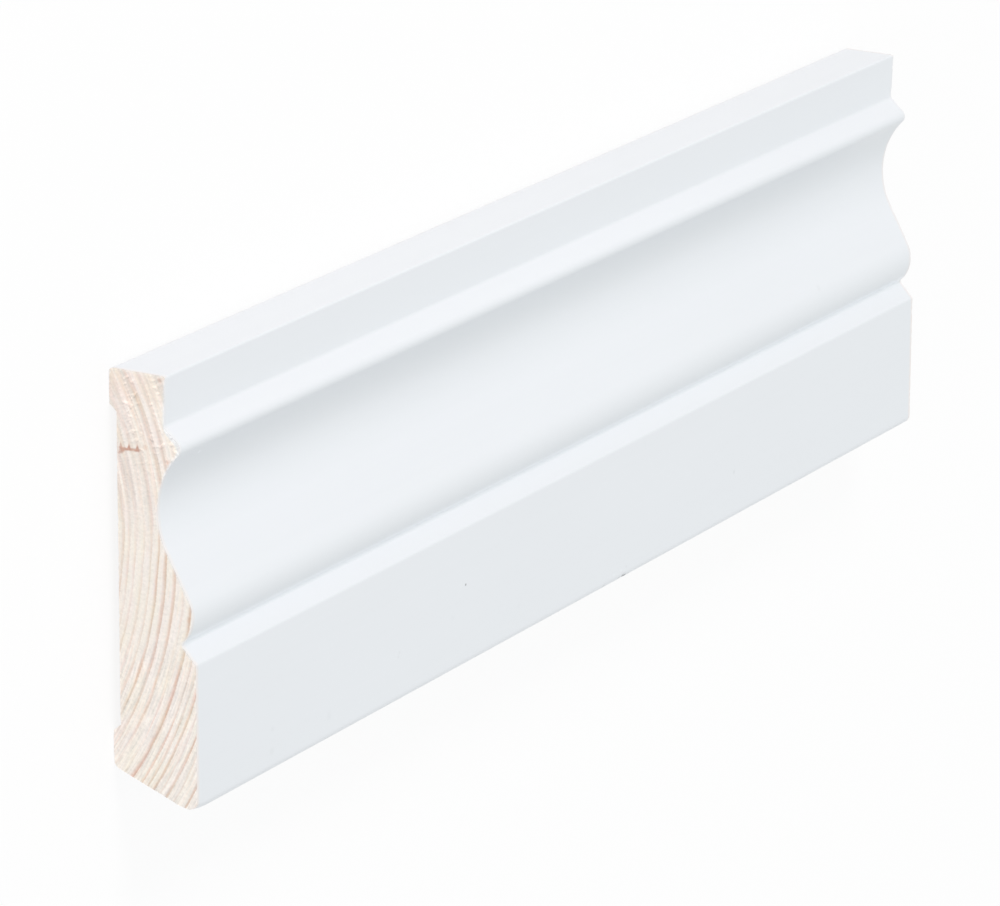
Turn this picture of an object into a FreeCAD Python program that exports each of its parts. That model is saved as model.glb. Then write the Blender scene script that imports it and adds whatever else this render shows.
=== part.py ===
import FreeCAD, Part
import math
import os

# A length of skirting board: one planed softwood moulding, both ends sawn square.
# It lies on its back with the moulded face up. X runs along the length, Y towards the top
# edge and Z out of the moulded face. The origin is under the middle of the board, on the
# plane of the two flat lands that bear on a wall.
# A section point is (depth, height): depth out from the lands, height up from the bottom edge.

# Driving dimensions, in millimetres and degrees.
board_length = 330.0
board_height = 95.0
board_thickness = 21.0

# The moulding, from the top edge down. Setbacks are measured back from the plain lower face,
# and each height runs on from the feature above, so a thicker or taller board keeps its moulding.
top_band_setback = 7.0
top_band_height = 11.0
top_band_lean = 0.4
bead_drop = 4.4
bead_setback = 3.4
bead_radius = 2.0
cove_setback = 9.2
cove_radius = 18.5
ogee_slope = 29.0
ogee_straight = 10.5
ogee_radius = 8.2
quirk_angle = 50.0
quirk_bevel_angle = 47.0

# The bottom edge and the back.
bottom_bevel_angle = 20.0
land_width = 8.0
relief_depth = 1.8
relief_step_angle = 50.0

# The rounds on the long arrises.
top_front_radius = 0.5
top_back_radius = 1.2
plinth_top_radius = 0.5
bottom_front_radius = 2.0
bottom_back_radius = 2.0

# Points of the outline closer than this are one point.
same_point = 1e-6


def on_circle(centre, radius, angle):
    """The point of a circle at an angle from the depth direction."""
    turn = math.radians(angle)
    return (centre[0] + radius * math.cos(turn), centre[1] + radius * math.sin(turn))


def round_stretch(centre, radius, first_angle, last_angle):
    """A round stretch of the outline: its first, middle and last point."""
    middle_angle = (first_angle + last_angle) / 2
    return [on_circle(centre, radius, angle) for angle in (first_angle, middle_angle, last_angle)]


def direction(start, end):
    """The unit direction from one point to another."""
    distance = math.dist(start, end)
    return ((end[0] - start[0]) / distance, (end[1] - start[1]) / distance)


def along(point, way, distance):
    """The point a distance away from another in a given direction."""
    return (point[0] + way[0] * distance, point[1] + way[1] * distance)


def rounded_corner(before, corner, after, radius):
    """The round stretch that eases a corner between two straight runs."""
    back = direction(corner, before)
    ahead = direction(corner, after)
    inward = direction((0.0, 0.0), (back[0] + ahead[0], back[1] + ahead[1]))
    half_angle = math.acos(back[0] * ahead[0] + back[1] * ahead[1]) / 2
    tangent_length = radius / math.tan(half_angle)
    corner_to_round = radius / math.sin(half_angle) - radius
    return [
        along(corner, back, tangent_length),
        along(corner, inward, corner_to_round),
        along(corner, ahead, tangent_length),
    ]


def bead_and_cove(band_foot):
    """The bead's round and the cove below it, which touch without a straight between them."""
    bead_centre = (board_thickness - bead_setback - bead_radius, band_foot[1] - bead_drop)
    to_centre = direction(band_foot, bead_centre)
    centre_angle = math.degrees(math.atan2(to_centre[1], to_centre[0]))
    touch_angle = math.degrees(math.asin(bead_radius / math.dist(band_foot, bead_centre)))
    bead_start_angle = centre_angle + touch_angle + 90

    cove_depth = board_thickness - cove_setback + cove_radius
    centre_distance = bead_radius + cove_radius
    cove_fall = math.sqrt(centre_distance ** 2 - (cove_depth - bead_centre[0]) ** 2)
    cove_centre = (cove_depth, bead_centre[1] - cove_fall)
    bead_end_angle = -math.degrees(math.asin(cove_fall / centre_distance))

    bead = round_stretch(bead_centre, bead_radius, bead_start_angle, bead_end_angle)
    cove = round_stretch(cove_centre, cove_radius, 180 + bead_end_angle, 180 + ogee_slope)
    return bead, cove


def ogee_round(cove_end):
    """The ogee's lower round, at the end of the short straight that leaves the cove."""
    down_the_slope = on_circle((0.0, 0.0), 1.0, ogee_slope - 90)
    ogee_start = along(cove_end, down_the_slope, ogee_straight)
    into_the_wood = on_circle((0.0, 0.0), 1.0, ogee_slope + 180)
    ogee_centre = along(ogee_start, into_the_wood, ogee_radius)
    return round_stretch(ogee_centre, ogee_radius, ogee_slope, -quirk_angle)


def moulded_front(arris, bottom):
    """The front of the board, from the top arris down to the lower face above the bottom round."""
    band_foot = (arris[0] - top_band_lean, arris[1] - top_band_height)
    bead, cove = bead_and_cove(band_foot)
    ogee = ogee_round(cove[-1])
    quirk = ogee[-1]
    bevel_fall = (board_thickness - quirk[0]) * math.tan(math.radians(quirk_bevel_angle))
    plinth_top = (board_thickness, quirk[1] - bevel_fall)
    top_back = (0.0, arris[1])
    return [
        rounded_corner(top_back, arris, band_foot, top_front_radius),
        [band_foot],
        bead,
        cove,
        ogee,
        rounded_corner(quirk, plinth_top, bottom, plinth_top_radius),
    ]


def relieved_back(bevel_start, arris):
    """The back, from the bottom bevel up to the top edge: two lands with the wood between
    them planed away, so that the board bears near its edges and sits flat on an uneven wall."""
    bevel_rise = bevel_start[0] * math.tan(math.radians(bottom_bevel_angle))
    back_corner = (0.0, bevel_start[1] + bevel_rise)
    top_back = (0.0, arris[1])
    lower_land_top = (0.0, back_corner[1] + land_width)
    upper_land_foot = (0.0, top_back[1] - land_width)
    step_run = relief_depth / math.tan(math.radians(relief_step_angle))
    return [
        rounded_corner(bevel_start, back_corner, lower_land_top, bottom_back_radius),
        [lower_land_top],
        [(relief_depth, lower_land_top[1] + step_run)],
        [(relief_depth, upper_land_foot[1] - step_run)],
        [upper_land_foot],
        rounded_corner(upper_land_foot, top_back, arris, top_back_radius),
    ]


def section_outline():
    """The section's outline in order. Each entry is a round stretch of three points or one
    sharp corner, and straight runs join them."""
    arris = (board_thickness - top_band_setback, board_height)
    # The bottom is bevelled up towards the back, so that only the round of its front arris
    # meets the floor. That round is the lowest line of the board.
    round_centre = (board_thickness - bottom_front_radius, bottom_front_radius)
    bottom_front = round_stretch(round_centre, bottom_front_radius, 0, -90 - bottom_bevel_angle)
    return moulded_front(arris, bottom_front[0]) + [bottom_front] + relieved_back(bottom_front[-1], arris)


def placed(point):
    """A section point in the board's own frame, on the left sawn end."""
    depth, height = point
    return FreeCAD.Vector(-board_length / 2, height - board_height / 2, depth)


def skirting_board():
    """The outline as one closed wire, run along the board's length."""
    outline = [[placed(point) for point in stretch] for stretch in section_outline()]
    edges = []
    for stretch, following in zip(outline, outline[1:] + outline[:1]):
        if len(stretch) == 3:
            edges.append(Part.Arc(*stretch).toShape())
        if stretch[-1].distanceToPoint(following[0]) > same_point:
            edges.append(Part.LineSegment(stretch[-1], following[0]).toShape())
    section = Part.Face(Part.Wire(edges))
    return section.extrude(FreeCAD.Vector(board_length, 0, 0))


os.makedirs("parts", exist_ok=True)
board = skirting_board()
board.exportStep("parts/skirting_board.step")
box = board.BoundBox
print("valid", board.isValid(), "volume", round(board.Volume, 1), "faces", len(board.Faces))
print("low corner", round(box.XMin, 3), round(box.YMin, 3), round(box.ZMin, 3))
print("high corner", round(box.XMax, 3), round(box.YMax, 3), round(box.ZMax, 3))
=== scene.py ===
import math

import bpy
import numpy as np
from mathutils import Matrix, Vector, noise


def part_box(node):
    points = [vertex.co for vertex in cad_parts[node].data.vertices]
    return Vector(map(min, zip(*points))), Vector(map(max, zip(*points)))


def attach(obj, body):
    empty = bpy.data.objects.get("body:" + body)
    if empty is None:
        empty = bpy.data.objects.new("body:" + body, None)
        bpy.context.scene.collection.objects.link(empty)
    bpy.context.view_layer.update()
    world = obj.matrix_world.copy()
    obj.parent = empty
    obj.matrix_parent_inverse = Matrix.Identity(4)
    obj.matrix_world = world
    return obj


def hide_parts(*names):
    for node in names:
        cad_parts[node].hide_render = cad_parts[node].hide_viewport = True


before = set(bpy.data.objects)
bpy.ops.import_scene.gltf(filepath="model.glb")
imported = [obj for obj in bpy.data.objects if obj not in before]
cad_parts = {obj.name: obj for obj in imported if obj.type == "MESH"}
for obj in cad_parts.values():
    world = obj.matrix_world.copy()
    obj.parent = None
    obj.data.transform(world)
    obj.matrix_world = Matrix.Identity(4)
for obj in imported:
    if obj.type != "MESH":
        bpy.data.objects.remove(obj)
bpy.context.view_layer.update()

bl_info = {
    "name": "Painted skirting board length",
    "version": (1, 0, 0),
    "blender": (4, 5, 0),
    "location": "View3D > Sidebar > Skirting",
    "description": "Makes a sawn length of painted softwood skirting board and a plain studio for it",
    "category": "Add Mesh",
}

# The board lies on its back. X runs along it from the raw end in view, Y from its bottom edge to
# its top edge, and Z out of the moulded face. Angles are in radians, and lengths in metres, except
# in the materials, where they are in millimetres.
# A section point is (depth, height): depth out from the flat lands on the back, height from the
# bottom edge.

NODE = "skirting_board"
BODY = "root"

MM = 0.001
MICRON = 0.001 * MM
board_low, board_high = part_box(NODE)
BOARD_LENGTH, BOARD_HEIGHT, BOARD_THICKNESS = board_high - board_low
RAW_END, BOTTOM_EDGE = board_low[0], board_low[1]


def length_property(name, description, millimetres):
    """A length, kept in metres."""
    return bpy.props.FloatProperty(
        name=name, description=description, default=millimetres * MM, min=0.0, unit="LENGTH",
        precision=5)


def angle_property(name, description, degrees):
    """An angle, kept in radians."""
    return bpy.props.FloatProperty(
        name=name, description=description, default=math.radians(degrees), unit="ROTATION",
        subtype="ANGLE")


def share_property(name, description, default):
    """A number from 0 to 1."""
    return bpy.props.FloatProperty(
        name=name, description=description, default=default, min=0.0, max=1.0, subtype="FACTOR")


def colour_property(name, description, default, brightest=1.0):
    """A colour."""
    return bpy.props.FloatVectorProperty(
        name=name, description=description, default=default, subtype="COLOR", min=0.0, max=brightest)


def place_property(name, description, default):
    """A place in the board's frame."""
    return bpy.props.FloatVectorProperty(
        name=name, description=description, default=default, subtype="TRANSLATION", unit="LENGTH")


class SkirtingSection(bpy.types.PropertyGroup):
    """The moulding's sizes, from the top edge down, then the bottom edge and the back."""

    top_band_setback: length_property(
        "Top band setback", "How far the top band stands back from the plinth", 7.0)
    top_band_height: length_property("Top band height", "Height of the flat band under the top edge", 11.0)
    top_band_lean: length_property("Top band lean", "How far the band's foot lies behind its top", 0.4)
    bead_drop: length_property(
        "Bead drop", "Height from the band's foot down to the middle of the bead", 4.4)
    bead_setback: length_property("Bead setback", "How far the bead stands back from the plinth", 3.4)
    bead_radius: length_property("Bead radius", "Radius of the small round above the cove", 2.0)
    cove_setback: length_property(
        "Cove setback", "How far the cove's deepest line lies behind the plinth", 9.2)
    cove_radius: length_property("Cove radius", "Radius of the hollow", 18.5)
    ogee_slope: angle_property(
        "Ogee slope", "Lean of the straight between the hollow and the lower round", 29.0)
    ogee_straight: length_property("Ogee straight", "Length of the straight between the two curves", 10.5)
    ogee_radius: length_property("Ogee radius", "Radius of the lower round", 8.2)
    quirk_angle: angle_property("Quirk angle", "How far the lower round turns under into the quirk", 50.0)
    quirk_bevel_angle: angle_property(
        "Quirk bevel angle", "Fall of the bevel from the quirk to the plinth", 47.0)
    band_foot_fill: length_property(
        "Band foot fill", "Radius of the paint that lies in the corner under the top band", 1.0)
    quirk_fill: length_property(
        "Quirk fill", "Radius of the paint that lies in the bottom of the quirk", 0.7)
    bottom_bevel_angle: angle_property(
        "Bottom bevel angle", "Rise of the bottom edge towards the back", 20.0)
    land_width: length_property("Land width", "Width of the two flat lands on the back", 8.0)
    relief_depth: length_property("Relief depth", "Depth planed away between the lands", 1.8)
    relief_step_angle: angle_property(
        "Relief step angle", "Slope of the step from a land to the planed part", 50.0)
    top_front_radius: length_property("Top front radius", "Round on the front arris of the top edge", 0.5)
    top_back_radius: length_property("Top back radius", "Round on the back arris of the top edge", 1.2)
    plinth_top_radius: length_property(
        "Plinth top radius", "Round between the quirk's bevel and the plinth", 0.9)
    bottom_front_radius: length_property(
        "Bottom front radius", "Round on the front arris of the bottom edge", 2.0)
    bottom_back_radius: length_property(
        "Bottom back radius", "Round on the back arris of the bottom edge", 2.0)


class SkirtingWear(bpy.types.PropertyGroup):
    """What sawing and handling took off the board. Each of these only takes wood away."""

    corner_lift: length_property(
        "Worn corner", "Height rubbed off the bottom front corner at the raw end", 0.70)
    corner_reach: length_property(
        "Worn corner reach", "How far along the board that corner is rubbed", 4.8)
    arris_chips: length_property("Arris chips", "Deepest chip that the saw left round a sawn end", 0.09)
    sawn_waviness: length_property("Sawn waviness", "Depth of the shallow hollows in a sawn end", 0.06)
    nick_along: length_property(
        "Nick place", "Distance of the nick in the bottom arris from the raw end", 183.0)
    nick_depth: length_property("Nick depth", "Depth of the nick in the bottom arris", 0.45)


class SkirtingFinish(bpy.types.PropertyGroup):
    """The colours of the paint and of the bare wood."""

    paint: colour_property(
        "Paint", "White satin paint on the top edge, front and bottom edge", (0.838, 0.866, 0.896))
    paint_roughness: share_property(
        "Paint roughness", "Sheen of the paint, from 0, gloss, to 1, matt", 0.32)
    early_wood: colour_property(
        "Early wood", "Pale wood between the rings, where it is pinkish", (0.94, 0.880, 0.834))
    creamy_early_wood: colour_property(
        "Creamy early wood", "Pale wood between the rings, where it is yellowish", (0.94, 0.890, 0.806))
    late_wood: colour_property(
        "Late wood", "Dark line of a year's ring, where it is reddish", (0.71, 0.482, 0.400))
    tan_late_wood: colour_property(
        "Tan late wood", "Dark line of a year's ring, where it is tan", (0.69, 0.525, 0.380))
    resin: colour_property("Resin", "Resin streak in the sawn end", (0.55, 0.26, 0.18))
    planed_early_wood: colour_property(
        "Planed early wood", "Pale wood on the planed back", (0.91, 0.78, 0.61))
    planed_late_wood: colour_property(
        "Planed late wood", "Grain lines on the planed back", (0.68, 0.44, 0.27))


class SkirtingStudio(bpy.types.PropertyGroup):
    """The camera, the lamps and the floor."""

    camera_place: place_property("Camera place", "Where the camera stands", (-1.2176, 0.4240, 0.7129))
    camera_aim: place_property(
        "Camera aim", "The point in the middle of the picture", (0.0, -0.0155, -0.0024))
    camera_roll: angle_property(
        "Camera roll", "Turn of the camera about its view, from board upright", 0.3)
    lens: bpy.props.FloatProperty(
        name="Lens", description="Focal length in millimetres on a 36 mm wide sensor",
        default=229.0, min=1.0, unit="CAMERA")
    floor_size: length_property("Floor size", "Length of the floor's side", 5000.0)
    floor_colour: colour_property(
        "Floor colour", "Colour with which the floor lights the board", (0.86, 0.86, 0.86))
    floor_glow: share_property(
        "Floor whiteness", "Share of plain white in the floor as the camera sees it", 0.88)
    sky_level: share_property(
        "Sky level", "Even light from all round, where 1 shows a white as written", 0.64)
    key_level: share_property(
        "Key lamp level", "Light on the top edge, where 1 shows a white as written", 0.335)
    key_colour: colour_property(
        "Key lamp colour", "Light above the top edge, a very little warm", (1.03, 0.975, 0.97), 2.0)
    end_level: share_property(
        "End lamp level", "Light on the raw end, where 1 shows a white as written", 0.18)
    front_level: share_property(
        "Front lamp level", "Light on the moulded face, where 1 shows a white as written", 0.108)
    front_colour: colour_property(
        "Front lamp colour", "Light over the moulded face, a little cool", (0.89, 1.07, 1.08), 2.0)
    low_level: share_property(
        "Low lamp level", "Light on the bottom edge, where 1 shows a white as written", 0.055)


PIECE = "dressed_skirting_board"
# The mesh attribute that holds how far a point of a sawn end lies from the painted outline.
PAINT_DISTANCE = "from_paint"

# Fineness of the board's mesh.
ARC_STEP = 0.45 * MM
ARC_TURN = math.radians(7.0)
HEIGHT_STEP = 0.75 * MM
CELLS_THROUGH = 28
RIM_CELL = 0.3 * MM
WIDEST_RIM = 1 / 6
STATION_STEP = 4.0 * MM
END_STATIONS = [step * MM for step in (0.0, 0.35, 0.8, 1.5, 2.4, 3.6, 5.2, 7.2, 10.0)]
NICK_STATIONS = [step * MM for step in (0.0, 0.35, 0.7, 1.1, 1.7)]
SHARP_ANGLE = math.radians(28.0)
# Corners of the section, or stations along the board, that lie closer than this are one.
SAME_PLACE = MICRON
# A point of a round stretch gets no rung of its own where one lies closer than this in height.
SAME_HEIGHT = 0.05 * MM


def on_circle(centre, radius, angle):
    """The point of a circle at an angle from the depth direction."""
    return centre + radius * np.array((math.cos(angle), math.sin(angle)))


def round_stretch(centre, radius, first, last):
    """Points along a round stretch of the outline."""
    turn = abs(last - first)
    steps = math.ceil(max(turn / ARC_TURN, turn * radius / ARC_STEP, 2))
    return np.array([on_circle(centre, radius, angle) for angle in np.linspace(first, last, steps + 1)])


def unit(step):
    """The direction of a step."""
    return step / np.linalg.norm(step)


def bearing(step):
    """The angle of a step from the depth direction."""
    return math.atan2(step[1], step[0])


def rounded_corner(before, corner, after, radius):
    """Points along the round that eases a corner between two straight runs."""
    back = unit(before - corner)
    ahead = unit(after - corner)
    half_angle = math.acos(back @ ahead) / 2
    centre = corner + unit(back + ahead) * radius / math.sin(half_angle)
    tangent = radius / math.tan(half_angle)
    first = bearing(corner + back * tangent - centre)
    turn = (bearing(corner + ahead * tangent - centre) - first + math.pi) % (2 * math.pi) - math.pi
    return round_stretch(centre, radius, first, first + turn)


def bead_and_cove(section, band_foot):
    """The bead's round and the cove below it, which touch without a straight between them."""
    bead_depth = BOARD_THICKNESS - section.bead_setback - section.bead_radius
    bead_centre = np.array((bead_depth, band_foot[1] - section.bead_drop))
    to_centre = bead_centre - band_foot
    touch_angle = math.asin(section.bead_radius / np.linalg.norm(to_centre))
    bead_start = bearing(to_centre) + touch_angle + math.pi / 2
    cove_depth = BOARD_THICKNESS - section.cove_setback + section.cove_radius
    centre_distance = section.bead_radius + section.cove_radius
    cove_fall = math.sqrt(centre_distance ** 2 - (cove_depth - bead_depth) ** 2)
    cove_centre = np.array((cove_depth, bead_centre[1] - cove_fall))
    bead_end = -math.asin(cove_fall / centre_distance)
    bead = round_stretch(bead_centre, section.bead_radius, bead_start, bead_end)
    cove_end = math.pi + section.ogee_slope
    cove = round_stretch(cove_centre, section.cove_radius, math.pi + bead_end, cove_end)
    return bead, cove


def quirk_paint(section, ogee_centre, quirk, plinth_top):
    """Where the ogee ends, and the round of paint from there to the bevel, which touches both."""
    # The paint's centre lies one radius off the bevel, and both radii from the ogee's centre.
    radius = section.quirk_fill
    down_the_bevel = unit(plinth_top - quirk)
    out_of_the_bevel = np.array((-down_the_bevel[1], down_the_bevel[0]))
    start = quirk + out_of_the_bevel * radius - ogee_centre
    inward = start @ down_the_bevel
    reach = math.sqrt(inward ** 2 + (section.ogee_radius + radius) ** 2 - start @ start) - inward
    from_ogee = start + down_the_bevel * reach
    first = bearing(-from_ogee)
    last = bearing(-out_of_the_bevel) + 2 * math.pi
    return bearing(from_ogee), round_stretch(ogee_centre + from_ogee, radius, first, last)


def bottom_round(section, first, last):
    """Points along the round on the front arris of the bottom edge."""
    radius = section.bottom_front_radius
    return round_stretch(np.array((BOARD_THICKNESS - radius, radius)), radius, first, last)


def moulded_front(section):
    """The front in stretches, from the top arris down to the lowest line of the bottom edge."""
    arris = np.array((BOARD_THICKNESS - section.top_band_setback, BOARD_HEIGHT))
    band_foot = arris - (section.top_band_lean, section.top_band_height)
    bead, cove = bead_and_cove(section, band_foot)
    ogee_start = on_circle(cove[-1], section.ogee_straight, section.ogee_slope - math.pi / 2)
    ogee_centre = on_circle(ogee_start, section.ogee_radius, section.ogee_slope + math.pi)
    quirk = on_circle(ogee_centre, section.ogee_radius, -section.quirk_angle)
    bevel_fall = (BOARD_THICKNESS - quirk[0]) * math.tan(section.quirk_bevel_angle)
    plinth_top = np.array((BOARD_THICKNESS, quirk[1] - bevel_fall))
    ogee_end, paint_fill = quirk_paint(section, ogee_centre, quirk, plinth_top)
    ogee = round_stretch(ogee_centre, section.ogee_radius, section.ogee_slope, ogee_end)
    bottom_front = bottom_round(section, 0.0, -math.pi / 2)
    top_back = np.array((0.0, BOARD_HEIGHT))
    return [
        rounded_corner(top_back, arris, band_foot, section.top_front_radius),
        rounded_corner(arris, band_foot, bead[0], section.band_foot_fill),
        bead,
        cove,
        ogee,
        paint_fill,
        rounded_corner(quirk, plinth_top, bottom_front[0], section.plinth_top_radius),
        bottom_front,
    ]


def relieved_back(section):
    """The bottom bevel and the back in stretches, from the lowest line up to the top edge."""
    turn_under = bottom_round(section, -math.pi / 2, -math.pi / 2 - section.bottom_bevel_angle)
    bevel_start = turn_under[-1]
    bevel_rise = bevel_start[0] * math.tan(section.bottom_bevel_angle)
    back_corner = np.array((0.0, bevel_start[1] + bevel_rise))
    lower_land_top = back_corner + (0.0, section.land_width)
    upper_land_foot = np.array((0.0, BOARD_HEIGHT - section.land_width))
    top_back = np.array((0.0, BOARD_HEIGHT))
    top_front = np.array((BOARD_THICKNESS, BOARD_HEIGHT))
    step_run = section.relief_depth / math.tan(section.relief_step_angle)
    step = np.array((section.relief_depth, step_run))
    return [
        turn_under,
        rounded_corner(bevel_start, back_corner, lower_land_top, section.bottom_back_radius),
        np.array([lower_land_top]),
        np.array([lower_land_top + step]),
        np.array([upper_land_foot + step * (1.0, -1.0)]),
        np.array([upper_land_foot]),
        rounded_corner(upper_land_foot, top_back, top_front, section.top_back_radius),
    ]


def without_repeats(places):
    """The places in order, without those that lie on the one before."""
    kept = []
    for place in sorted(places):
        if not kept or place - kept[-1] > SAME_PLACE:
            kept.append(place)
    return kept


def rung_heights(front, back):
    """Heights at which the section is cut across: every corner, the points between them on the
    round stretches, and more where a straight run would be long."""
    kept = without_repeats(stretch[end][1] for stretch in front + back for end in (0, -1))
    between = [point[1] for stretch in front + back for point in stretch[1:-1]]
    for height in between:
        if min(abs(height - other) for other in kept) > SAME_HEIGHT:
            kept.append(height)
    kept.sort()
    heights = kept[:1]
    for low, high in zip(kept, kept[1:]):
        steps = math.ceil((high - low) / HEIGHT_STEP)
        heights.extend(np.linspace(low, high, steps + 1)[1:])
    return np.array(heights)


def section_rungs(front, back):
    """The section as rungs from its lowest line to its top edge: the height of each, and the
    depths of the points across it, from the back to the front, closer together near both."""
    heights = rung_heights(front, back)
    front_points = np.concatenate(front)[::-1]
    back_points = np.concatenate(back)
    fronts = np.interp(heights, front_points[:, 1], front_points[:, 0])
    backs = np.interp(heights, back_points[:, 1], back_points[:, 0])
    width = fronts - backs
    rim = np.minimum(RIM_CELL, width * WIDEST_RIM)
    share = np.linspace(0.0, 1.0, CELLS_THROUGH - 1)
    inner = (backs + rim)[:, None] + share * (width - 2 * rim)[:, None]
    return heights, np.column_stack((backs, inner, fronts))


def stations_along(wear):
    """Places along the board where its outline is repeated: close at both ends and at the nick."""
    near, far = RAW_END, RAW_END + BOARD_LENGTH
    first, last = near + END_STATIONS[-1], far - END_STATIONS[-1]
    places = set(np.linspace(first, last, round((last - first) / STATION_STEP)))
    places.update(near + step for step in END_STATIONS)
    places.update(far - step for step in END_STATIONS)
    nick = near + wear.nick_along
    places = {place for place in places if abs(place - nick) > NICK_STATIONS[-1] + NICK_STATIONS[1]}
    places.update(nick + side * step for side in (-1, 1) for step in NICK_STATIONS)
    return np.array(without_repeats(places))


class BoardMesh:
    """The board as one closed mesh: its outline repeated along its length, and a grid on each end."""

    def __init__(self, heights, depths, stations):
        self.stations = stations
        self.rows, self.columns = depths.shape
        top = self.rows - 1
        up_the_front = [(row, self.columns - 1) for row in range(top + 1)]
        over_the_top = [(top, column) for column in range(self.columns - 2, 0, -1)]
        down_the_back = [(row, 0) for row in range(top, 0, -1)]
        self.loop = up_the_front + over_the_top + down_the_back
        self.outline = np.array([(depths[cell], heights[cell[0]]) for cell in self.loop])
        inside = [(row, column) for row in range(1, top) for column in range(1, self.columns - 1)]
        self.inner = np.array([(depths[cell], heights[cell[0]]) for cell in inside])
        self.around = len(self.loop)
        wall_points = self.around * len(stations)
        self.ends = []
        for number, first_in_wall in enumerate((0, wall_points - self.around)):
            grid = np.zeros((self.rows, self.columns), int)
            for place, cell in enumerate(self.loop):
                grid[cell] = first_in_wall + place
            first_inside = wall_points + number * len(inside)
            for place, cell in enumerate(inside):
                grid[cell] = first_inside + place
            # The lowest rung is one point, on the line on which the board would stand.
            grid[0, :] = grid[0, self.columns - 1]
            self.ends.append(grid)
        walls = [self.placed(self.outline, station) for station in stations]
        caps = [self.placed(self.inner, station) for station in (stations[0], stations[-1])]
        self.points = np.concatenate(walls + caps)

    @staticmethod
    def placed(section_points, station):
        """Section points in the board's own frame, at a station along it."""
        along = np.full(len(section_points), station)
        return np.column_stack((along, BOTTOM_EDGE + section_points[:, 1], section_points[:, 0]))

    def wall_faces(self):
        """The faces between one outline and the next, in the order of its points."""
        faces = []
        for station in range(len(self.stations) - 1):
            near, far = station * self.around, (station + 1) * self.around
            for place in range(self.around):
                following = (place + 1) % self.around
                faces.append((near + place, far + place, far + following, near + following))
        return faces

    def end_faces(self):
        """The faces of the grids on the two sawn ends."""
        faces = []
        for grid, seen_from_near in zip(self.ends, (True, False)):
            for row in range(self.rows - 1):
                for column in range(self.columns - 1):
                    corners = [grid[row, column], grid[row, column + 1],
                               grid[row + 1, column + 1], grid[row + 1, column]]
                    if row == 0:
                        corners = corners[1:]
                    faces.append(tuple(corners if seen_from_near else corners[::-1]))
        return faces

    def outline_inward(self):
        """The direction into the wood at each point of the outline."""
        along = np.roll(self.outline, -1, axis=0) - np.roll(self.outline, 1, axis=0)
        along /= np.linalg.norm(along, axis=1)[:, None]
        return np.column_stack((-along[:, 1], along[:, 0]))


# The bottom front corner is rubbed up to this height, and more and more between these depths.
RUBBED_HEIGHT = 6 * MM
RUBBED_DEPTHS = (16 * MM, 20.5 * MM)
# How far the nick reaches along the board, up it and into it.
NICK_REACH = (1.2 * MM, 1.6 * MM, 1.6 * MM)
# The length of the waves in the chips, the roughness at which a chip starts, how fast it deepens
# from there, and how far it reaches along the board for its depth.
CHIP_WAVE = 0.9 * MM
CHIP_START = 0.05
CHIP_RISE = 2.2
CHIP_ALONG = 0.8
# The length of the hollows in a sawn end, up it and through it.
HOLLOW_WAVES = (6 * MM, 9 * MM)
# Where in the noise the chips and the hollows of each sawn end are read, so that the ends differ.
CHIP_PATTERNS = (3.7, 8.7)
HOLLOW_PATTERNS = (2.5, 3.5)


def rub_corner(points, wear):
    """Rubs the bottom front corner at the raw end."""
    from_end = points[:, 0] - RAW_END
    height = points[:, 1] - BOTTOM_EDGE
    first_depth, full_depth = RUBBED_DEPTHS
    near_end = np.clip(1 - from_end / wear.corner_reach, 0, 1) ** 2
    near_bottom = np.clip(1 - height / RUBBED_HEIGHT, 0, 1)
    near_front = np.clip((points[:, 2] - first_depth) / (full_depth - first_depth), 0, 1)
    points[:, 1] += wear.corner_lift * near_end * near_bottom * near_front


def nick_arris(points, wear):
    """Dents the bottom front arris in one place."""
    corner = np.array((RAW_END + wear.nick_along, BOTTOM_EDGE, BOARD_THICKNESS))
    closeness = np.clip(1 - np.linalg.norm((points - corner) / NICK_REACH, axis=1), 0, 1)
    into_the_wood = np.array((0.0, 1.0, -1.0)) / math.sqrt(2)
    # The arris is round, so the closeness is only about a half where the nick is deepest.
    points += 2 * wear.nick_depth * closeness[:, None] * into_the_wood


def chip_sawn_arrises(mesh, wear):
    """Takes small chips out of the arris round both sawn ends."""
    inward = mesh.outline_inward()
    steps = np.linalg.norm(np.diff(mesh.outline, axis=0), axis=1)
    run = np.concatenate(([0.0], np.cumsum(steps)))
    for end, pattern in enumerate(CHIP_PATTERNS):
        first = end * mesh.around * (len(mesh.stations) - 1)
        into_the_board = 1 - 2 * end
        for place in range(mesh.around):
            rough = noise.noise(Vector((run[place] / CHIP_WAVE, pattern, 0.5)))
            chip = wear.arris_chips * min(1.0, max(0.0, rough - CHIP_START) * CHIP_RISE)
            point = mesh.points[first + place]
            point[0] += into_the_board * chip * CHIP_ALONG
            point[1] += inward[place, 1] * chip
            point[2] += inward[place, 0] * chip


def hollow_sawn_ends(mesh, wear):
    """Gives both sawn ends the shallow hollows that a saw leaves."""
    first = mesh.around * len(mesh.stations)
    up_wave, through_wave = HOLLOW_WAVES
    for end, pattern in enumerate(HOLLOW_PATTERNS):
        into_the_board = 1 - 2 * end
        start = first + end * len(mesh.inner)
        for point in mesh.points[start:start + len(mesh.inner)]:
            wave = noise.noise(Vector((point[1] / up_wave, point[2] / through_wave, pattern)))
            point[0] += into_the_board * wear.sawn_waviness * (0.5 + 0.5 * wave)


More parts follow.
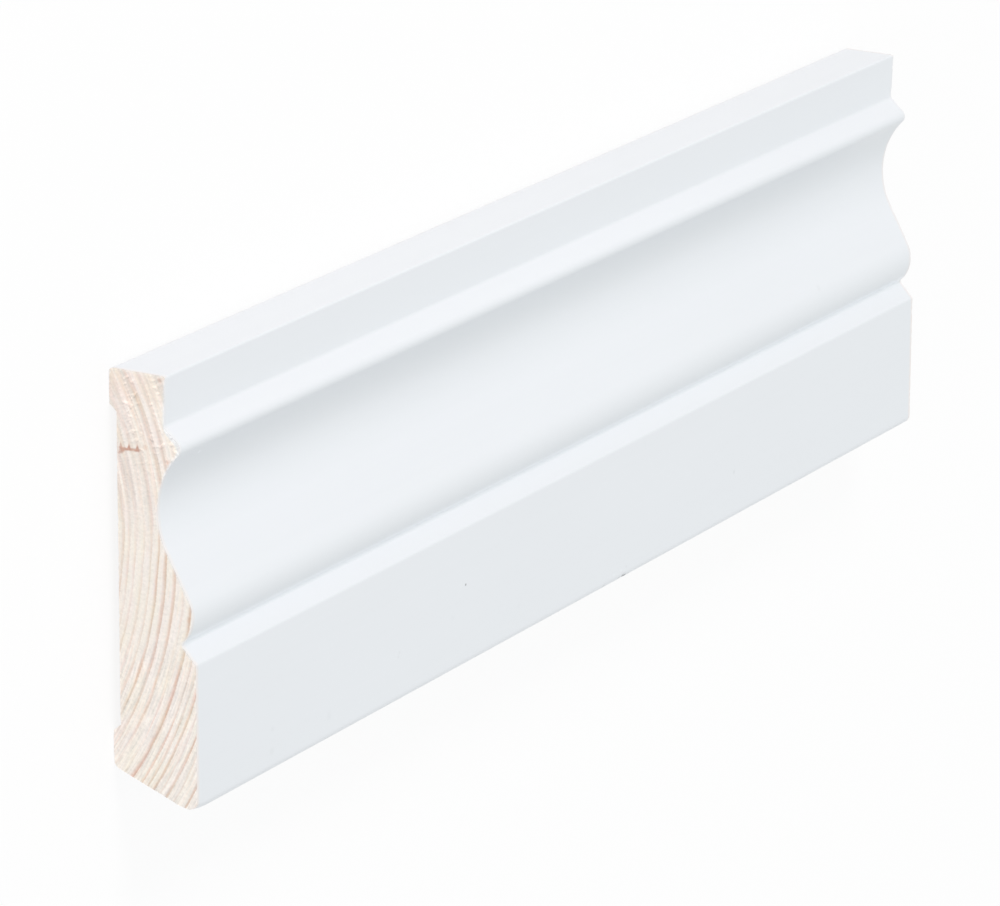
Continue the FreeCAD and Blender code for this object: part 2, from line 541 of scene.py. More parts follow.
def distance_to_paint(mesh, painted):
    """How far each point of the board lies from the painted part of the outline, in its section."""
    starts = mesh.outline[painted]
    steps = np.roll(mesh.outline, -1, axis=0)[painted] - starts
    nearest = np.full(len(mesh.inner), np.inf)
    for start, step in zip(starts, steps):
        share = np.clip((mesh.inner - start) @ step / (step @ step), 0, 1)
        gap = np.linalg.norm(mesh.inner - start - share[:, None] * step, axis=1)
        nearest = np.minimum(nearest, gap)
    on_wall = np.zeros(mesh.around * len(mesh.stations))
    return np.concatenate((on_wall, nearest, nearest))


class Value:
    """A socket of a material's or the sky's nodes. Arithmetic on it adds its Math nodes."""

    def __init__(self, tree, socket=None):
        self.tree = tree
        self.socket = socket

    def node(self, kind, settings=None, inputs=None, output=0):
        """Adds a node: first its settings, then the values or links of its sockets."""
        made = self.tree.nodes.new(kind)
        for name, setting in (settings or {}).items():
            if name == "stops":
                set_stops(made.color_ramp, setting)
            else:
                setattr(made, name, setting)
        for name, value in (inputs or {}).items():
            if isinstance(value, Value):
                self.tree.links.new(value.socket, made.inputs[name])
            else:
                made.inputs[name].default_value = value
        return Value(self.tree, made.outputs[output] if made.outputs else None)

    def maths(self, operation, *values):
        """The result of a Math node."""
        return self.node("ShaderNodeMath", {"operation": operation}, dict(enumerate(values)))

    def __add__(self, other):
        return self.maths("ADD", self, other)

    def __sub__(self, other):
        return self.maths("SUBTRACT", self, other)

    def __rsub__(self, other):
        return self.maths("SUBTRACT", other, self)

    def __mul__(self, other):
        return self.maths("MULTIPLY", self, other)

    def __truediv__(self, other):
        return self.maths("DIVIDE", self, other)

    def __rtruediv__(self, other):
        return self.maths("DIVIDE", other, self)

    __radd__ = __add__
    __rmul__ = __mul__

    def fade(self, none, full):
        """0 where this is at the first limit or beyond it, 1 at the second, smooth between."""
        limits = {"Value": self, "From Min": none, "From Max": full}
        return self.node("ShaderNodeMapRange", {"interpolation_type": "SMOOTHSTEP"}, limits)

    def band(self, start, full, last, end):
        """0 up to the first limit, 1 from the second to the third, 0 from the fourth, smooth between."""
        return self.fade(start, full) * self.fade(end, last)

    def stretched(self, scales):
        """This vector with each of its parts multiplied."""
        return self.node("ShaderNodeVectorMath", {"operation": "MULTIPLY"}, {0: self, 1: scales})

    def shifted(self, step):
        """This vector moved by a step."""
        return self.node("ShaderNodeVectorMath", {"operation": "ADD"}, {0: self, 1: step})

    def distance(self, point):
        """How far this place is from a point."""
        return self.node("ShaderNodeVectorMath", {"operation": "DISTANCE"}, {0: self, 1: point}, "Value")

    def parts(self):
        """The three parts of this vector."""
        return [self.node("ShaderNodeSeparateXYZ", {}, {0: self}, part) for part in range(3)]

    def vector(self, *parts):
        """A vector of three parts."""
        return self.node("ShaderNodeCombineXYZ", {}, dict(enumerate(parts)))

    def cloud(self, waves, detail=2.0, roughness=0.5):
        """Smooth noise from 0 to 1 about 0.5. Its waves are counted for each unit of this vector,
        in one number for all its parts or in one for each."""
        if isinstance(waves, tuple):
            return self.stretched(waves).cloud(1.0, detail, roughness)
        inputs = {"Vector": self, "Scale": waves, "Detail": detail, "Roughness": roughness}
        return self.node("ShaderNodeTexNoise", {"noise_dimensions": "3D"}, inputs, "Fac")

    def grain(self, sizes, detail=2.0, roughness=0.5):
        """Smooth noise about 0. Its waves have these lengths along this vector's three parts."""
        return self.cloud(tuple(1.0 / size for size in sizes), detail, roughness) - 0.5

    def blend(self, first, second):
        """The first colour where this is 0 and the second where it is 1."""
        return self.node("ShaderNodeMix", {"data_type": "RGBA"}, {0: self, 6: first, 7: second}, 2)

    def shaded(self, colour):
        """A colour made lighter or darker by this amount, which is 1 where nothing changes."""
        settings = {"data_type": "RGBA", "blend_type": "MULTIPLY"}
        return self.node("ShaderNodeMix", settings, {0: 1.0, 6: colour, 7: self}, 2)


def set_stops(ramp, stops):
    """Sets a colour ramp's stops from (position, grey value) pairs."""
    ramp.interpolation = "EASE"
    while len(ramp.elements) < len(stops):
        ramp.elements.new(1.0)
    for element, (position, grey) in zip(ramp.elements, stops):
        element.position = position
        element.color = (grey, grey, grey, 1.0)


def rgba(colour):
    """A colour with full alpha."""
    return (*colour, 1.0)


def new_material(name):
    """An empty material, and a value to start its shader maths from."""
    material = bpy.data.materials.new(name)
    material.use_nodes = True
    material.node_tree.nodes.clear()
    return material, Value(material.node_tree)


def place_on_board(shade):
    """Where a point of the board lies in the board's own frame, in millimetres: as a vector, and as
    its place along the board, its height above the bottom edge and its depth out from the back."""
    place = shade.node("ShaderNodeTexCoord", {}, {}, "Object").stretched((1 / MM, 1 / MM, 1 / MM))
    along, up, out = place.parts()
    return place, along, up - BOTTOM_EDGE / MM, out


def surface(shade, colour, roughness, relief, specular=0.5):
    """Ends a material: a plain surface with its colour, its roughness and its relief in microns."""
    bump = shade.node("ShaderNodeBump", {}, {"Strength": 1.0, "Distance": MICRON, "Height": relief})
    body = shade.node("ShaderNodeBsdfPrincipled", {}, {
        "Base Color": colour, "Roughness": roughness, "Normal": bump, "Specular IOR Level": specular})
    shade.node("ShaderNodeOutputMaterial", {"target": "ALL"}, {"Surface": body})


# From here to the end of the materials, lengths are in millimetres and relief is in microns. A pair
# of limits says where a look starts and where it is full, and a band of four also says where it is
# last full and where it ends.

# Waves of the textures for each millimetre: along the board, up it and out, or one for all three.
PAINT_DRIFT_WAVES = (0.014, 0.042, 0.042)
PAINT_PEEL_WAVES = 0.95
RAISED_GRAIN_WAVES = (0.009, 0.7, 0.7)
BOTTOM_LINE_PATCH_WAVES = (0.24, 0.9, 0.9)
TORN_PAINT_WAVES = 1.1
RESIN_EDGE_WAVES = 0.9
SPECKLE_WAVES = 1.7
BROAD_RIM_WAVES = 0.16
FINE_RIM_WAVES = 1.5
FIBRE_WAVES = (0.035, 2.6, 2.6)
STREAK_WAVES = (0.012, 0.42, 0.42)
GRAIN_WANDER_WAVES = (0.008, 0.06, 0.06)
RESIN_CANAL_WAVES = (0.09, 3.2, 3.2)
OVERSPRAY_WAVES = (0.26, 1.2, 1.2)

# Marks in the paint on the front: distance from the raw end, height, radius, and how much
# darker than the paint they are. A negative one is lighter. The rows low on the bottom arris
# from 173 to 186 mm along are painted shade in the nick, and the three just above them are
# painted light and shade on small bumps beside it.
PAINT_MARKS_AND_NICK_SHADE = [
    (110.3, 19.4, 0.42, 0.55),
    (81.8, 11.7, 0.55, 0.05),
    (81.3, 10.8, 0.60, 0.04),
    (236.5, 12.0, 0.75, 0.07),
    (281.8, 46.8, 1.10, 0.035),
    (182.9, 0.6, 0.85, 0.97),
    (184.1, 0.5, 0.70, 0.60),
    (185.4, 0.5, 0.80, 0.25),
    (180.9, 0.7, 0.70, 0.18),
    (173.6, 0.8, 0.80, 0.16),
    (181.5, 2.6, 0.55, -0.05),
    (183.9, 2.9, 0.50, 0.05),
    (178.0, 2.4, 0.60, -0.04),
    (104.6, 13.1, 1.10, 0.015),
    (134.0, 7.5, 1.10, 0.015),
    (52.4, 5.8, 1.30, 0.025),
    (29.6, 9.8, 0.90, 0.030),
    (29.2, 4.8, 1.30, 0.030),
    (10.6, 76.2, 0.60, -0.10),
]

# Painted light along the bottom of the quirk, around this height and depth: the paint there is made whiter
# in place of the light that the bevel throws back into it.
QUIRK_LIGHT_SPOT = (37.4, 17.9)
QUIRK_LIGHT_REACH = (2.3, 0.4)
QUIRK_LIGHT_HEIGHTS = (36.1, 36.8)

# Heights above the bottom edge, and depths out from the back, over which looks of the paint change.
FRONT_DEPTHS = (9, 11)
BOTTOM_LINE_HEIGHTS = (1.2, 0.6)
BOTTOM_LINE_DEPTHS = (16, 18)
PLINTH_HEIGHTS = (36, 31)
TORN_BELOW_BEAD = (79, 68)
TORN_ON_TOP = (94.5, 94.9)


def spots(shade, across, height, marks, core):
    """Strength of round marks with soft edges. Each is given by its place across, its height, its
    radius and its strength, and is full out to this share of its radius."""
    total = 0.0
    for mark_across, mark_height, radius, strength in marks:
        from_middle = shade.vector(across, height, 0.0).distance((mark_across, mark_height, 0.0))
        total = from_middle.fade(radius, radius * core) * strength + total
    return total


def paint_look(shade, where, finish):
    """Colour, roughness and relief of the satin paint."""
    place, along, height, out = where
    drift = place.cloud(PAINT_DRIFT_WAVES) - 0.5
    peel = place.cloud(PAINT_PEEL_WAVES, 2.0, 0.45)
    raised_grain = place.cloud(RAISED_GRAIN_WAVES, 3.0, 0.6)
    # The marks include painted shade in the nick and painted light and shade on the bumps beside it.
    marks = spots(shade, along - RAW_END / MM, height, PAINT_MARKS_AND_NICK_SHADE, 0.3) * out.fade(*FRONT_DEPTHS)
    # The paint is made darker in patches along the lowest line of the bottom edge.
    bottom_line = height.fade(*BOTTOM_LINE_HEIGHTS) * out.fade(*BOTTOM_LINE_DEPTHS)
    bottom_line_darkening = bottom_line * place.cloud(BOTTOM_LINE_PATCH_WAVES, 2.0, 0.6).fade(0.48, 0.64)
    # Painted light: the paint is made lighter along the bottom of the quirk.
    from_quirk_light = shade.vector(height, out, 0.0).distance((*QUIRK_LIGHT_SPOT, 0.0))
    painted_quirk_light = from_quirk_light.fade(*QUIRK_LIGHT_REACH) * height.fade(*QUIRK_LIGHT_HEIGHTS)
    tone = 1.0 - marks + drift * 0.02 + (raised_grain - 0.5) * 0.012 - bottom_line_darkening * 0.10 + painted_quirk_light * 0.10
    roughness = finish.paint_roughness + (peel - 0.5) * 0.12 + drift * 0.06
    relief = peel * 2.2 + raised_grain * 1.5 - marks * 60.0
    return tone.shaded(rgba(finish.paint)), roughness, relief


def satin_paint(finish):
    """White satin paint over planed softwood, torn thin at both sawn ends."""
    material, shade = new_material("satin_white_paint")
    place, along, height, _ = where = place_on_board(shade)
    from_sawn_end = BOARD_LENGTH / (2 * MM) - shade.maths("ABSOLUTE", along)
    ragged = (place.cloud(TORN_PAINT_WAVES) - 0.5) * 0.8
    share = 0.15 + height.fade(*TORN_BELOW_BEAD) * 0.35 + height.fade(*PLINTH_HEIGHTS) * 0.3
    share = share + height.fade(*TORN_ON_TOP) * 0.4
    torn = (from_sawn_end + ragged).fade(1.3, 0.0) * share
    bare_wood = Vector(finish.early_wood).lerp(Vector(finish.late_wood), 0.1)
    colour, roughness, relief = paint_look(shade, where, finish)
    surface(shade, torn.blend(colour, rgba(bare_wood)), roughness, relief)
    return material


# Growth rings on the sawn end: each ring's distance from the tree's heart, the width over which
# its late wood darkens, and how dark it gets.
GROWTH_RINGS = [
    (64.5, 0.9, 0.45),
    (66.0, 0.9, 0.32),
    (67.6, 0.9, 0.30),
    (69.7, 0.9, 0.28),
    (71.6, 0.8, 0.35),
    (73.5, 0.8, 0.66),
    (75.6, 1.1, 0.80),
    (78.0, 1.0, 0.66),
    (80.4, 0.8, 0.20),
    (82.5, 1.05, 0.78),
    (84.6, 0.7, 0.58),
    (86.1, 0.7, 0.58),
    (87.6, 0.8, 0.70),
    (89.1, 0.6, 0.28),
    (90.7, 0.8, 0.70),
    (92.4, 0.6, 0.26),
    (95.2, 0.7, 0.70),
    (97.0, 0.5, 0.30),
]
# A colour ramp holds at most 32 stops, and each ring takes three.
RINGS_TO_A_RAMP = 9
# Late wood ends over this width outside its ring, and the ramps run between these distances.
RING_EDGE = 0.25
RING_RANGE = (63.0, 102.0)

# The tree's heart lies behind the board, above the middle of its height.
HEART_HEIGHT = 58.0
HEART_DEPTH = -61.6
# Below the heart the rings run outwards by this much for each squared millimetre of fall.
RING_FLATTENING = 0.0009
# Along the board the rings sway in and out: the turn of each wave for a millimetre, and its reach.
RING_SWAYS = ((0.013, 1.1), (0.037, 0.35))
# Distances round the heart are measured at this distance from it.
MIDDLE_RADIUS = 75.0


def ring_place(shade, where):
    """Distance from the heart, and distance round it, of a place in the wood."""
    _, along, height, out = where
    rise = height - HEART_HEIGHT
    depth = out - HEART_DEPTH
    fall = shade.maths("MAXIMUM", 0.0 - rise, 0.0)
    sway = 0.0
    for turn, reach in RING_SWAYS:
        sway = shade.maths("SINE", (along - RAW_END / MM) * turn) * reach + sway
    radius = shade.maths("SQRT", rise * rise + depth * depth) - fall * fall * RING_FLATTENING + sway
    return radius, shade.maths("ARCTAN2", rise, depth) * MIDDLE_RADIUS


def late_wood(shade, radius):
    """Darkness of the growth rings, from 0 to 1, at a distance from the heart."""
    low, high = RING_RANGE
    position = (radius - low) / (high - low)
    darkness = 0.0
    for first in range(0, len(GROWTH_RINGS), RINGS_TO_A_RAMP):
        stops = []
        for ring, width, dark in GROWTH_RINGS[first:first + RINGS_TO_A_RAMP]:
            for place, grey in ((ring - width, 0.0), (ring, dark), (ring + RING_EDGE, 0.0)):
                stops.append(((place - low) / (high - low), grey))
        darkness = shade.node("ShaderNodeValToRGB", {"stops": stops}, {"Fac": position}) * 1.0 + darkness
    return darkness


# Small stains in the end grain: depth, height, radius and strength.
WOOD_STAINS = [
    (12.7, 94.0, 0.85, 0.40),
    (14.6, 76.5, 0.85, 0.40),
    (8.8, 78.8, 0.90, 0.35),
    (19.3, 42.8, 1.00, 0.20),
]

# The resin streak's height at the back, its rise for each millimetre outwards, and half the
# distance from one of its teeth to the next.
RESIN_HEIGHT = 77.6
RESIN_RISE = 0.04
RESIN_TOOTH = 1.05


def resin_streak(shade, where):
    """A streak of resin across the upper rings, thick at the back, with teeth where it soaked up."""
    place, along, height, out = where
    wander = place.cloud(RESIN_EDGE_WAVES) - 0.5
    above = height - RESIN_HEIGHT - out * RESIN_RISE + wander * 0.4
    from_back = (out + wander * 1.5).fade(1.9, 2.5)
    to_front = (out + wander).fade(7.9, 7.2)
    thick_end = out.fade(4.2, 2.8)
    teeth = shade.maths("PINGPONG", out + 0.45, RESIN_TOOTH).fade(0.55, RESIN_TOOTH)
    top = above.fade(teeth * 1.3 + 0.50, teeth * 0.5 + 0.05)
    foot = above.fade(-0.50 - thick_end, -0.05 - thick_end * 0.4)
    near_end_only = along.fade(0.0, RAW_END / MM)
    return top * foot * from_back * to_front * (0.70 + wander * 0.8) * near_end_only


# Lengths of what shows in the end grain: out from the heart, round it and along the board.
RAYS = (1.1, 0.50, 1.0)
LINES = (0.55, 8.0, 6.0)
FINE_LINES = (0.36, 4.5, 4.5)
PATCHES = (3.0, 10.0, 9.0)
BROAD_BANDS = (1.0, 28.0, 20.0)
HUES = (1.6, 9.0, 9.0)
TUFTS = (1.6, 1.05, 1.0)

# Heights above the bottom edge over which looks of the end grain change.
UPPER_HEIGHTS = (52, 74)
LOWER_HEIGHTS = (42, 28)
NEAR_TOP_BAND = (87, 91.5, 94.2, 94.9)
BULGE_BAND = (50, 62, 76, 90)
FADED_LOW_HEIGHTS = (30, 10)
FADED_HIGH_HEIGHTS = (88, 92)
OUTER_RINGS_END = (80, 88)
TORN_HEIGHTS = (74, 82)
BEAD_BAND = (77.5, 80, 83, 85)
RIM_BELOW_BEAD = (76, 68)
RIM_ENDS_ABOVE = (94.0, 94.6)
# The same for distances from the heart, and for depths out from the back.
BULGE_RADII = (76, 73)
INNER_RADII = (81, 79)
TORN_RADII = (70.5, 72, 80.5, 82)
BEAD_DEPTHS = (13, 14)


def end_rings(shade, radius, height, upper, patches, jitter):
    """The growth rings on a sawn end: softer in its upper part, and fading towards its edges."""
    bulge = height.band(*BULGE_BAND) * radius.fade(*BULGE_RADII)
    swayed = radius - bulge * 0.5 + jitter + patches * 0.5
    sharp = late_wood(shade, swayed)
    soft = (late_wood(shade, swayed - 0.3) + late_wood(shade, swayed + 0.3)) * 0.5
    inner = radius.fade(*INNER_RADII)
    faded = inner * (height.fade(*FADED_LOW_HEIGHTS) * 0.7 + upper * 0.1)
    faded = faded + height.fade(*FADED_HIGH_HEIGHTS) * 0.5
    gone = (1.0 - inner) * height.fade(*OUTER_RINGS_END)
    rings = sharp + (soft - sharp) * upper
    return rings * (1.0 - faded) * (1.0 - gone) * (1.0 + patches * 1.2)


def rim_of_paint(place, height, from_paint, over_the_bead):
    """How much of the wood the paint hides round a sawn end, from 0 to 1."""
    spread = place.cloud(BROAD_RIM_WAVES) * 0.5 + place.cloud(FINE_RIM_WAVES) * 0.4
    share = 0.75 - height.fade(*RIM_BELOW_BEAD) * 0.25 - height.fade(*PLINTH_HEIGHTS) * 0.35
    share = share - height.fade(*RIM_ENDS_ABOVE) * 0.75
    return (from_paint + spread - over_the_bead * 0.6).fade(1.1, 0.4) * share


def torn_tufts(in_rings, where_torn):
    """Tufts of torn fibre, from 0 to 1, and the same less the painted shadows just beside them."""
    torn = in_rings.stretched(tuple(1.0 / size for size in TUFTS))
    tufts = torn.cloud(1.0, 1.0).fade(0.52, 0.66) * where_torn
    painted_tuft_shadows = torn.shifted((0.10, 0.35, 0.0)).cloud(1.0, 1.0).fade(0.52, 0.66) * where_torn
    return tufts, tufts - painted_tuft_shadows


def sawn_end(finish):
    """The sawn ends: growth rings cut across, torn fibres, a resin streak and a rim of paint."""
    material, shade = new_material("sawn_end_grain")
    place, along, height, out = where = place_on_board(shade)
    radius, around = ring_place(shade, where)
    in_rings = shade.vector(radius, around, along)
    upper = height.fade(*UPPER_HEIGHTS)
    lower = height.fade(*LOWER_HEIGHTS)

    speckle = place.cloud(SPECKLE_WAVES, 1.0) - 0.5
    rays = in_rings.grain(RAYS, 1.0)
    lines = in_rings.grain(LINES)
    patches = in_rings.grain(PATCHES)
    rings = end_rings(shade, radius, height, upper, patches, speckle * 0.15 + rays * 0.2)
    stains = spots(shade, out, height, WOOD_STAINS, 0.2)
    dark = rings + lines * (0.75 + lower * 0.45) + rays * 0.2 + upper * 0.07 + stains
    dark = dark + height.band(*NEAR_TOP_BAND) * 0.15
    hue = in_rings.grain(HUES, 1.0) * 2.5 + 0.5
    early = hue.blend(rgba(finish.early_wood), rgba(finish.creamy_early_wood))
    late = hue.blend(rgba(finish.late_wood), rgba(finish.tan_late_wood))
    wood = resin_streak(shade, where).blend(dark.blend(early, late), rgba(finish.resin))

    from_paint = shade.node("ShaderNodeAttribute", {"attribute_name": PAINT_DISTANCE}, {}, "Fac") / MM
    over_the_bead = height.band(*BEAD_BAND) * out.fade(*BEAD_DEPTHS)
    rim = rim_of_paint(place, height, from_paint, over_the_bead)

    torn_band = radius.band(*TORN_RADII) * height.fade(*TORN_HEIGHTS)
    where_torn = (patches + 0.5).fade(0.40, 0.55) * (upper * 0.35 + torn_band * 0.60)
    tufts, tufts_less_painted_shadows = torn_tufts(in_rings, where_torn)
    tone = 1.0 + speckle * (0.22 + lower * 0.06) + rays * (0.10 + upper * 0.12)
    tone = tone + lines * (0.14 + lower * 0.16) + in_rings.grain(FINE_LINES, 1.0) * (0.06 + lower * 0.32)
    tone = tone + in_rings.grain(BROAD_BANDS, 1.0) * (0.08 + upper * 0.36)
    # Painted light and shade: the tufts are made lighter as if lit, with painted shadows beside them.
    tone = tone + tufts_less_painted_shadows * 0.15 + tufts * 0.05
    tone = tone + over_the_bead * from_paint.fade(0.8, 0.3) * 0.08
    relief = (speckle + rays) * 9.0 - dark * 12.0 + tufts * 32.0
    colour = tone.shaded(rim.blend(wood, rgba(finish.paint)))
    surface(shade, colour, 0.82 - rim * 0.4, relief, 0.3)
    return material


# Overspray covers the back above one pair of heights and below the other, and its ragged edge
# reaches up to this much further.
OVERSPRAY_ABOVE = (94.4, 95.6)
OVERSPRAY_BELOW = (7.0, 5.8)
OVERSPRAY_REACH = 4.5
# The distance from one mark of the planer's knives to the next.
KNIFE_MARK = 1.6


def planed_back(finish):
    """The bare back: the same rings cut along the grain, with overspray at the painted edges."""
    material, shade = new_material("planed_back_grain")
    place, along, height, _ = where = place_on_board(shade)
    radius, _ = ring_place(shade, where)
    fibre = place.cloud(FIBRE_WAVES, 3.0, 0.65)
    streaks = place.cloud(STREAK_WAVES, 3.0, 0.6) - 0.5
    wander = place.cloud(GRAIN_WANDER_WAVES) - 0.5
    dark = late_wood(shade, radius + wander * 1.6 + (fibre - 0.5) * 0.2)
    resin_canals = place.cloud(RESIN_CANAL_WAVES, 1.0).fade(0.62, 0.72)
    tan = streaks * 0.5 + (fibre - 0.5) * 0.7 + resin_canals * 0.3 + 0.04
    wood = (dark + tan).blend(rgba(finish.planed_early_wood), rgba(finish.planed_late_wood))
    ragged = place.cloud(OVERSPRAY_WAVES, 4.0, 0.65) * OVERSPRAY_REACH
    above = (height + ragged).fade(*OVERSPRAY_ABOVE)
    below = (height - ragged).fade(*OVERSPRAY_BELOW)
    sprayed = shade.maths("MAXIMUM", above, below)
    paint_colour, paint_roughness, paint_relief = paint_look(shade, where, finish)
    knife_marks = shade.maths("SINE", along * (2 * math.pi / KNIFE_MARK))
    relief = fibre * 9.0 + dark * 14.0 + knife_marks * 1.2 + paint_relief
    roughness = 0.68 + streaks * 0.12
    roughness = roughness + sprayed * (paint_roughness - roughness)
    surface(shade, sprayed.blend(wood, paint_colour), roughness, relief, 0.35)
    return material


def add_object(context, name, data):
    """Adds an object to the scene."""
    made = bpy.data.objects.new(name, data)
    context.scene.collection.objects.link(made)
    return made


def painted_outline(mesh, back):
    """Which steps of the outline are painted: all but those on the back between its two rounds."""
    lowest_bare = back[1][-1][1]
    highest_bare = back[-1][0][1]
    middle_heights = (mesh.outline + np.roll(mesh.outline, -1, axis=0))[:, 1] / 2
    on_back = np.arange(mesh.around) >= mesh.around - mesh.rows
    return ~(on_back & (middle_heights > lowest_bare) & (middle_heights < highest_bare))


def board_data(mesh, painted, finish):
    """The board's mesh, with its materials and the distance of its points from the paint."""
    wall_faces, end_faces = mesh.wall_faces(), mesh.end_faces()
    data = bpy.data.meshes.new(PIECE)
    data.from_pydata(mesh.points.tolist(), [], wall_faces + end_faces)
    for material in (satin_paint(finish), sawn_end(finish), planed_back(finish)):
        data.materials.append(material)
    paint_slot, sawn_slot, planed_slot = range(3)
    wall_slots = np.tile(np.where(painted, paint_slot, planed_slot), len(mesh.stations) - 1)
    slots = np.concatenate((wall_slots, np.full(len(end_faces), sawn_slot)))
    data.polygons.foreach_set("material_index", slots.astype(np.int32))
    from_paint = data.attributes.new(PAINT_DISTANCE, "FLOAT", "POINT")
    from_paint.data.foreach_set("value", distance_to_paint(mesh, painted).astype(np.float32))
    data.shade_smooth()
    data.set_sharp_from_angle(angle=SHARP_ANGLE)
    if data.validate(verbose=False):
        raise RuntimeError("the board's mesh has faulty faces")
    return data


class SKIRTING_OT_dress_board(bpy.types.Operator):
    """Makes the painted length of moulding, with its bare sawn ends and planed back"""

    bl_idname = "skirting.dress_board"
    bl_label = "Skirting board"

    def execute(self, context):
        scene = context.scene
        section, wear, finish = scene.skirting_section, scene.skirting_wear, scene.skirting_finish
        front, back = moulded_front(section), relieved_back(section)
        for points in (np.concatenate(front)[::-1], np.concatenate(back)):
            if np.any(np.diff(points[:, 1]) < -SAME_PLACE):
                raise RuntimeError("the moulding's sizes make its outline turn back on itself")
        heights, depths = section_rungs(front, back)
        mesh = BoardMesh(heights, depths, stations_along(wear))
        painted = painted_outline(mesh, back)
        chip_sawn_arrises(mesh, wear)
        hollow_sawn_ends(mesh, wear)
        rub_corner(mesh.points, wear)
        nick_arris(mesh.points, wear)

        board = add_object(context, PIECE, board_data(mesh, painted, finish))
        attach(board, BODY)
        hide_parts(NODE)
        return {"FINISHED"}


FLOOR_GAP = 0.05 * MM
WHITE = (1.0, 1.0, 1.0)

# Where each lamp stands, and the length of its side.
KEY_LAMP = ((-0.4, 1.6, 1.05), 0.6)
END_LAMP = ((-2.4, 0.1, 0.30), 0.5)
FRONT_LAMP = ((0.8, -0.2, 1.65), 1.2)
LOW_LAMP = ((0.0, -1.5, 0.1), 0.19)


def seen_directly(shade):
    """1 for what the camera sees, straight or through gloss or glass, and 0 for what lights."""
    rays = [shade.node("ShaderNodeLightPath", {}, {}, kind)
            for kind in ("Is Camera Ray", "Is Glossy Ray", "Is Transmission Ray")]
    return shade.maths("MINIMUM", rays[0] + rays[1] + rays[2], 1.0)


def studio_floor(context, studio):
    """A plain floor just under the board. The camera sees it near white, with the board's shadow."""
    half = studio.floor_size / 2
    sides = ((-half, -half), (half, -half), (half, half), (-half, half))
    corners = [(along, up, -FLOOR_GAP) for along, up in sides]
    data = bpy.data.meshes.new("studio_floor")
    data.from_pydata(corners, [], [(0, 1, 2, 3)])
    material, shade = new_material("studio_floor")
    plain = shade.node("ShaderNodeBsdfDiffuse", {}, {"Color": rgba(studio.floor_colour)})
    white = shade.node("ShaderNodeBsdfDiffuse", {}, {"Color": rgba(WHITE)})
    glow = shade.node("ShaderNodeEmission", {}, {"Color": rgba(WHITE), "Strength": 1.0})
    seen = shade.node("ShaderNodeMixShader", {}, {0: studio.floor_glow, 1: white, 2: glow})
    floor_shader = shade.node("ShaderNodeMixShader", {}, {0: seen_directly(shade), 1: plain, 2: seen})
    shade.node("ShaderNodeOutputMaterial", {"target": "ALL"}, {"Surface": floor_shader})
    data.materials.append(material)
    floor = add_object(context, "studio_floor", data)


def studio_sky(context, studio):
    """Even light from all round, which the camera sees as white."""
    world = bpy.data.worlds.new("studio_sky")
    world.use_nodes = True
    world.node_tree.nodes.clear()
    shade = Value(world.node_tree)
    strength = studio.sky_level + seen_directly(shade) * (1.0 - studio.sky_level)
    sky = shade.node("ShaderNodeBackground", {}, {"Color": rgba(WHITE), "Strength": strength})
    shade.node("ShaderNodeOutputWorld", {}, {"Surface": sky})
    context.scene.world = world


def soft_lamp(context, name, lamp_place, level, colour=WHITE):
    """A square lamp aimed at the board. Its level is the light on a surface that faces it."""
    place, side = Vector(lamp_place[0]), lamp_place[1]
    data = bpy.data.lights.new(name, "AREA")
    data.size = side
    # A white surface shows the lamp's power divided by the square of pi times its distance.
    data.energy = level * math.pi ** 2 * place.length_squared
    data.color = colour
    lamp = add_object(context, name, data)
    lamp.location = place
    lamp.rotation_euler = (-place).to_track_quat("-Z", "Y").to_euler()


def studio_camera(context, studio):
    """The camera at the photograph's viewing angle, with the board's top edge upwards."""
    place, aim = Vector(studio.camera_place), Vector(studio.camera_aim)
    forward = (aim - place).normalized()
    right = forward.cross(Vector((0.0, 1.0, 0.0))).normalized()
    upright = Matrix((right, right.cross(forward), -forward)).transposed()
    data = bpy.data.cameras.new("studio_camera")
    data.sensor_width = 36.0
    data.sensor_fit = "HORIZONTAL"
    data.lens = studio.lens
    data.clip_start = 0.01
    data.clip_end = 50.0
    camera = add_object(context, "studio_camera", data)
    turned = upright @ Matrix.Rotation(studio.camera_roll, 3, "Z")
    camera.matrix_world = Matrix.Translation(place) @ turned.to_4x4()
    context.scene.camera = camera


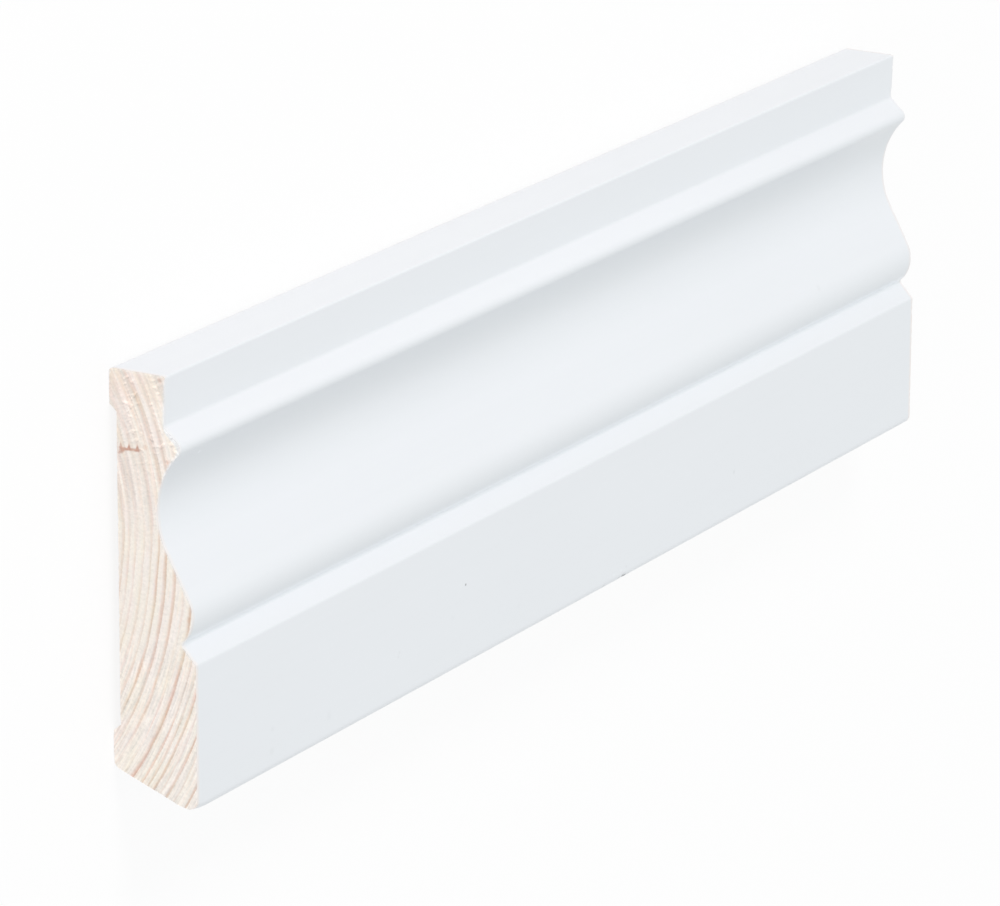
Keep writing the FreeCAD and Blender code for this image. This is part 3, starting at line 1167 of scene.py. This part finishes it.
class SKIRTING_OT_build_studio(bpy.types.Operator):
    """Makes the pale floor, the soft lamps, the even sky and the camera"""

    bl_idname = "skirting.build_studio"
    bl_label = "Studio"

    def execute(self, context):
        studio = context.scene.skirting_studio
        studio_floor(context, studio)
        studio_sky(context, studio)
        soft_lamp(context, "key_lamp", KEY_LAMP, studio.key_level, studio.key_colour)
        soft_lamp(context, "end_lamp", END_LAMP, studio.end_level)
        soft_lamp(context, "front_lamp", FRONT_LAMP, studio.front_level, studio.front_colour)
        soft_lamp(context, "low_lamp", LOW_LAMP, studio.low_level)
        studio_camera(context, studio)
        context.scene.view_settings.view_transform = "Standard"
        return {"FINISHED"}


class SKIRTING_PT_sidebar(bpy.types.Panel):
    """The skirting board's operators and sizes, in the sidebar"""

    bl_idname = "SKIRTING_PT_sidebar"
    bl_label = "Skirting board"
    bl_space_type = "VIEW_3D"
    bl_region_type = "UI"
    bl_category = "Skirting"

    def draw(self, context):
        for operator in OPERATORS:
            self.layout.operator(operator.bl_idname)
        for name, kind, heading in GROUPS:
            box = self.layout.box()
            box.label(text=heading)
            for size in kind.__annotations__:
                box.prop(getattr(context.scene, name), size)


# The property groups: what each is called in the scene, its class and its heading in the panel.
GROUPS = [
    ("skirting_section", SkirtingSection, "Moulding"),
    ("skirting_wear", SkirtingWear, "Wear"),
    ("skirting_finish", SkirtingFinish, "Paint and wood"),
    ("skirting_studio", SkirtingStudio, "Camera, lamps and floor"),
]
OPERATORS = [SKIRTING_OT_dress_board, SKIRTING_OT_build_studio]
CLASSES = [kind for _, kind, _ in GROUPS] + OPERATORS + [SKIRTING_PT_sidebar]


def register():
    """Registers the classes and adds the property groups to the scene."""
    for kind in CLASSES:
        bpy.utils.register_class(kind)
    for name, kind, _ in GROUPS:
        setattr(bpy.types.Scene, name, bpy.props.PointerProperty(type=kind))


def unregister():
    """Takes the property groups off the scene and unregisters the classes."""
    for name, _, _ in GROUPS:
        delattr(bpy.types.Scene, name)
    for kind in reversed(CLASSES):
        bpy.utils.unregister_class(kind)


def main():
    """Makes the board and the studio."""
    register()
    bpy.ops.skirting.dress_board()
    bpy.ops.skirting.build_studio()


if __name__ == "__main__":
    main()
